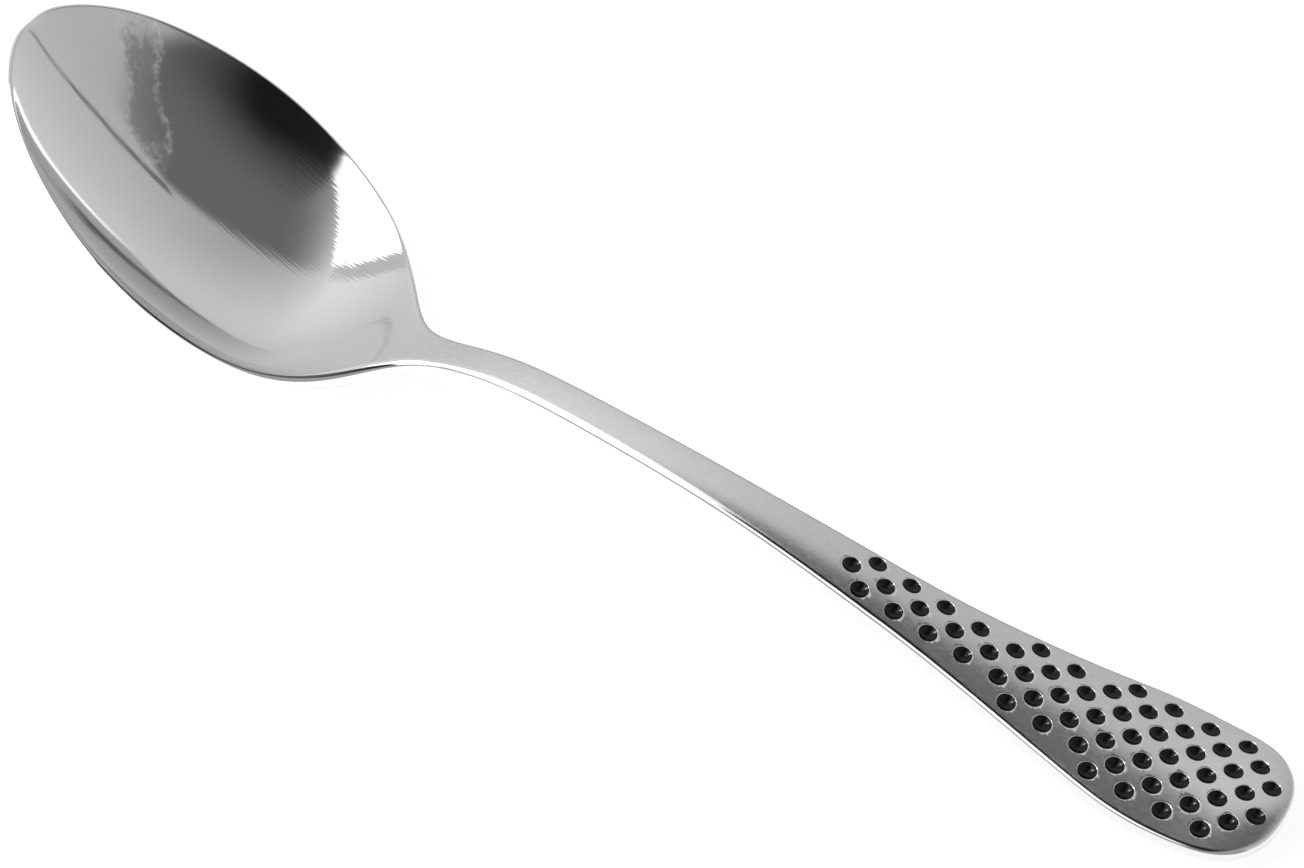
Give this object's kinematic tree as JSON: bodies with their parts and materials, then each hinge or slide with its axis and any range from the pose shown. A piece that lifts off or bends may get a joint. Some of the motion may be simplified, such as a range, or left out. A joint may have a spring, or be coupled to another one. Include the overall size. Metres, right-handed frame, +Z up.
{
  "type": "coffee spoon",
  "caption": "Slim steel coffee spoon with an oval, raised bowl, a narrow stem and a paddle-shaped handle end whose upper face carries a lattice of round dimples filled with black enamel.",
  "frame": {"origin": "on the table under the middle of the spoon's length and width", "axes": "+X from the bowl's tip to the handle's end, +Z up from the table, +Y across, square to both"},
  "size_m": [0.1332, 0.0302, 0.0205],
  "materials": {
    "steel": "polished bowl, satin handle",
    "black_enamel": "gloss"
  },
  "bodies": {
    "root": {"spoon_body": "steel", "enamel_fill_01": "black_enamel", "enamel_fill_02": "black_enamel", "enamel_fill_03": "black_enamel", "enamel_fill_04": "black_enamel", "enamel_fill_05": "black_enamel", "enamel_fill_06": "black_enamel", "enamel_fill_07": "black_enamel", "enamel_fill_08": "black_enamel", "enamel_fill_09": "black_enamel", "enamel_fill_10": "black_enamel", "enamel_fill_11": "black_enamel", "enamel_fill_12": "black_enamel", "enamel_fill_13": "black_enamel", "enamel_fill_14": "black_enamel", "enamel_fill_15": "black_enamel", "enamel_fill_16": "black_enamel", "enamel_fill_17": "black_enamel", "enamel_fill_18": "black_enamel", "enamel_fill_19": "black_enamel", "enamel_fill_20": "black_enamel", "enamel_fill_21": "black_enamel", "enamel_fill_22": "black_enamel", "enamel_fill_23": "black_enamel", "enamel_fill_24": "black_enamel", "enamel_fill_25": "black_enamel", "enamel_fill_26": "black_enamel", "enamel_fill_27": "black_enamel", "enamel_fill_28": "black_enamel", "enamel_fill_29": "black_enamel", "enamel_fill_30": "black_enamel", "enamel_fill_31": "black_enamel", "enamel_fill_32": "black_enamel", "enamel_fill_33": "black_enamel", "enamel_fill_34": "black_enamel", "enamel_fill_35": "black_enamel", "enamel_fill_36": "black_enamel", "enamel_fill_37": "black_enamel", "enamel_fill_38": "black_enamel", "enamel_fill_39": "black_enamel", "enamel_fill_40": "black_enamel", "enamel_fill_41": "black_enamel", "enamel_fill_42": "black_enamel", "enamel_fill_43": "black_enamel", "enamel_fill_44": "black_enamel", "enamel_fill_45": "black_enamel", "enamel_fill_46": "black_enamel", "enamel_fill_47": "black_enamel", "enamel_fill_48": "black_enamel", "enamel_fill_49": "black_enamel", "enamel_fill_50": "black_enamel", "enamel_fill_51": "black_enamel", "enamel_fill_52": "black_enamel", "enamel_fill_53": "black_enamel", "enamel_fill_54": "black_enamel", "enamel_fill_55": "black_enamel", "enamel_fill_56": "black_enamel", "enamel_fill_57": "black_enamel", "enamel_fill_58": "black_enamel"}
  },
  "joints": []
}
